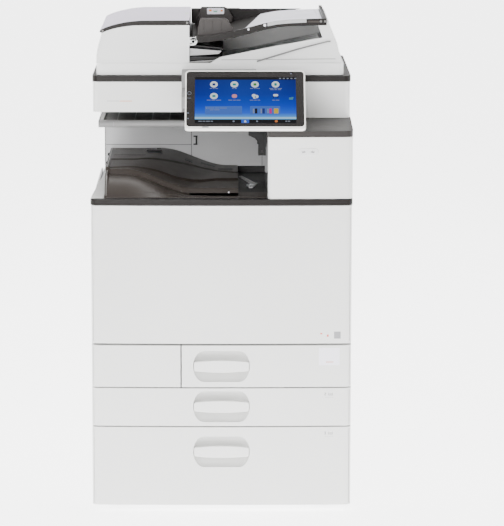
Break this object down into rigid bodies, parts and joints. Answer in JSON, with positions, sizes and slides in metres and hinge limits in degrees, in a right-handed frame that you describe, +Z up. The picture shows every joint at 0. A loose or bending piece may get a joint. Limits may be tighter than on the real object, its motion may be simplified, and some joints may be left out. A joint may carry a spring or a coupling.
{
  "type": "office photocopier",
  "caption": "Floor-standing colour photocopier with in-body output tray, flatbed scanner, document feeder, tilting touch panel and front-loading paper drawers.",
  "frame": {"origin": "on the floor, under the middle of the machine's outer box", "axes": "+Z up, +X to the right seen from the front, +Y towards the back; the operator stands at -Y"},
  "size_m": [0.587, 0.685, 1.104],
  "materials": {
    "cover_white": "fine moulded grain, satin",
    "housing_grey": "fine moulded grain",
    "trim_dark": "satin, light scuffs",
    "tray_brown": "fine texture, satin",
    "inner_black": "moulded, satin",
    "drawer_grey": "moulded, matt",
    "pad_white": "soft white sheet",
    "rubber_black": "matt",
    "sheet_steel": "zinc-coated sheet",
    "platen_glass": "clear float glass",
    "screen_black": "glossy touch glass",
    "toner_black": "blow-moulded",
    "toner_cyan": "blow-moulded",
    "toner_magenta": "blow-moulded",
    "toner_yellow": "blow-moulded"
  },
  "bodies": {
    "machine": {"base_plate": "sheet_steel", "foot_front_left": "rubber_black", "foot_front_right": "rubber_black", "foot_rear_left": "rubber_black", "foot_rear_right": "rubber_black", "main_frame": "sheet_steel", "left_side_cover": "cover_white", "right_side_cover": "cover_white", "rear_cover": "cover_white", "tray_blank_panel": "cover_white", "inner_front_panel": "housing_grey", "imaging_unit": "inner_black", "laser_unit": "inner_black", "fuser_unit": "inner_black", "deck": "trim_dark", "output_tray": "tray_brown", "rear_housing": "housing_grey", "exit_housing": "inner_black", "one_bin_tray": "housing_grey", "right_upper_cover": "cover_white", "right_upper_cap": "trim_dark", "scanner_body": "cover_white", "scanner_top_frame": "trim_dark", "platen_glass": "platen_glass", "panel_bracket": "housing_grey"},
    "front_cover": {"front_cover": "cover_white"},
    "main_switch": {"main_switch": "inner_black"},
    "output_stopper": {"output_stopper": "trim_dark"},
    "exit_roller": {"exit_roller": "rubber_black"},
    "scan_carriage": {"scan_carriage": "inner_black"},
    "feeder_lid": {"adf_base": "cover_white", "adf_pressure_pad": "pad_white", "adf_feeder_housing": "cover_white"},
    "feed_cover": {"adf_feed_cover": "cover_white"},
    "input_tray": {"adf_input_tray": "trim_dark"},
    "guide_front": {"adf_guide_front": "trim_dark"},
    "guide_rear": {"adf_guide_rear": "trim_dark"},
    "feed_roller": {"adf_feed_roller": "rubber_black"},
    "operation_panel": {"panel_housing": "cover_white", "panel_screen": "screen_black"},
    "power_key": {"panel_power_key": "pad_white"},
    "right_door": {"right_door": "cover_white"},
    "bypass_tray": {"bypass_tray": "cover_white"},
    "bypass_extension": {"bypass_extension": "tray_brown"},
    "tray_1": {"tray_1_front": "cover_white", "tray_1_bin": "drawer_grey"},
    "tray_1_grip": {"tray_1_grip": "cover_white"},
    "tray_1_lift_plate": {"tray_1_lift_plate": "sheet_steel"},
    "tray_2": {"tray_2_front": "cover_white", "tray_2_bin": "drawer_grey"},
    "tray_2_grip": {"tray_2_grip": "cover_white"},
    "tray_2_lift_plate": {"tray_2_lift_plate": "sheet_steel"},
    "tray_3": {"tray_3_front": "cover_white", "tray_3_bin": "drawer_grey"},
    "tray_3_grip": {"tray_3_grip": "cover_white"},
    "tray_3_lift_plate": {"tray_3_lift_plate": "sheet_steel"},
    "toner_yellow": {"toner_bottle_yellow": "toner_yellow"},
    "toner_magenta": {"toner_bottle_magenta": "toner_magenta"},
    "toner_cyan": {"toner_bottle_cyan": "toner_cyan"},
    "toner_black": {"toner_bottle_black": "toner_black"}
  },
  "joints": [
    {"name": "front_cover_hinge", "type": "hinge", "parent": "machine", "child": "front_cover", "pos_m": [0, -0.3, 0.391], "axis": [1, 0, 0], "range_deg": [0, 88]},
    {"name": "tray_1_slide", "type": "slide", "parent": "machine", "child": "tray_1", "axis": [0, -1, 0], "range_m": [0, 0.4]},
    {"name": "tray_1_grip_pull", "type": "slide", "parent": "tray_1", "child": "tray_1_grip", "axis": [0, -1, 0], "range_m": [0, 0.004], "stiffness_N_per_m": 1500},
    {"name": "tray_2_slide", "type": "slide", "parent": "machine", "child": "tray_2", "axis": [0, -1, 0], "range_m": [0, 0.4]},
    {"name": "tray_2_grip_pull", "type": "slide", "parent": "tray_2", "child": "tray_2_grip", "axis": [0, -1, 0], "range_m": [0, 0.004], "stiffness_N_per_m": 1500},
    {"name": "tray_3_slide", "type": "slide", "parent": "machine", "child": "tray_3", "axis": [0, -1, 0], "range_m": [0, 0.4]},
    {"name": "tray_3_grip_pull", "type": "slide", "parent": "tray_3", "child": "tray_3_grip", "axis": [0, -1, 0], "range_m": [0, 0.004], "stiffness_N_per_m": 1500},
    {"name": "tray_1_lift", "type": "hinge", "parent": "tray_1", "child": "tray_1_lift_plate", "pos_m": [0.041, 0, 0.2954], "axis": [0, -1, 0], "range_deg": [0, 16]},
    {"name": "tray_2_lift", "type": "hinge", "parent": "tray_2", "child": "tray_2_lift_plate", "pos_m": [-0.059, 0, 0.2044], "axis": [0, -1, 0], "range_deg": [0, 11]},
    {"name": "tray_3_lift", "type": "slide", "parent": "tray_3", "child": "tray_3_lift_plate", "axis": [0, 0, 1], "range_m": [0, 0.13]},
    {"name": "main_switch_rock", "type": "hinge", "parent": "machine", "child": "main_switch", "pos_m": [-0.2885, -0.23, 0.64], "axis": [0, 1, 0], "range_deg": [0, 12]},
    {"name": "output_stopper_flip", "type": "hinge", "parent": "machine", "child": "output_stopper", "pos_m": [-0.175, 0.095, 0.7755], "axis": [0, -1, 0], "range_deg": [0, 80]},
    {"name": "exit_roller_spin", "type": "hinge", "parent": "machine", "child": "exit_roller", "pos_m": [0.093, 0, 0.795], "axis": [0, 1, 0], "continuous": true},
    {"name": "scan_carriage_travel", "type": "slide", "parent": "machine", "child": "scan_carriage", "axis": [1, 0, 0], "range_m": [0, 0.465]},
    {"name": "feeder_lid_hinge", "type": "hinge", "parent": "machine", "child": "feeder_lid", "pos_m": [0, 0.29, 0.986], "axis": [-1, 0, 0], "range_deg": [0, 65]},
    {"name": "feed_cover_hinge", "type": "hinge", "parent": "feeder_lid", "child": "feed_cover", "pos_m": [-0.2735, 0.045, 1.075], "axis": [0, -1, 0], "range_deg": [0, 75]},
    {"name": "input_tray_hinge", "type": "hinge", "parent": "feeder_lid", "child": "input_tray", "pos_m": [-0.064, 0.045, 1.052], "axis": [0, -1, 0], "range_deg": [0, 22]},
    {"name": "guide_front_slide", "type": "slide", "parent": "input_tray", "child": "guide_front", "axis": [0, 1, 0], "range_m": [0, 0.08]},
    {"name": "guide_rear_slide", "type": "slide", "parent": "input_tray", "child": "guide_rear", "axis": [0, -1, 0], "range_m": [0, 0.08]},
    {"name": "feed_roller_spin", "type": "hinge", "parent": "feeder_lid", "child": "feed_roller", "pos_m": [-0.108, 0.045, 1.062], "axis": [0, 1, 0], "continuous": true},
    {"name": "panel_tilt", "type": "hinge", "parent": "machine", "child": "operation_panel", "pos_m": [0.0528, -0.25056, 0.92044], "axis": [1, 0, 0], "range_deg": [-30, 6]},
    {"name": "power_key_press", "type": "slide", "parent": "operation_panel", "child": "power_key", "axis": [0, 0.7361, -0.6769], "range_m": [0, 0.0008], "stiffness_N_per_m": 900},
    {"name": "right_door_hinge", "type": "hinge", "parent": "machine", "child": "right_door", "pos_m": [0.289, -0.03, 0.294], "axis": [0, 1, 0], "range_deg": [0, 42]},
    {"name": "bypass_tray_hinge", "type": "hinge", "parent": "right_door", "child": "bypass_tray", "pos_m": [0.289, -0.03, 0.4214], "axis": [0, 1, 0], "range_deg": [0, 80]},
    {"name": "bypass_extension_slide", "type": "slide", "parent": "bypass_tray", "child": "bypass_extension", "axis": [0, 0, 1], "range_m": [0, 0.08]},
    {"name": "toner_yellow_spin", "type": "hinge", "parent": "machine", "child": "toner_yellow", "pos_m": [-0.159, 0, 0.628], "axis": [0, 1, 0], "continuous": true},
    {"name": "toner_magenta_spin", "type": "hinge", "parent": "machine", "child": "toner_magenta", "pos_m": [-0.053, 0, 0.628], "axis": [0, 1, 0], "continuous": true},
    {"name": "toner_cyan_spin", "type": "hinge", "parent": "machine", "child": "toner_cyan", "pos_m": [0.053, 0, 0.628], "axis": [0, 1, 0], "continuous": true},
    {"name": "toner_black_spin", "type": "hinge", "parent": "machine", "child": "toner_black", "pos_m": [0.159, 0, 0.628], "axis": [0, 1, 0], "continuous": true}
  ],
  "couplings": [
    {"joint": "guide_rear_slide", "follows": "guide_front_slide", "ratio": 1}
  ]
}
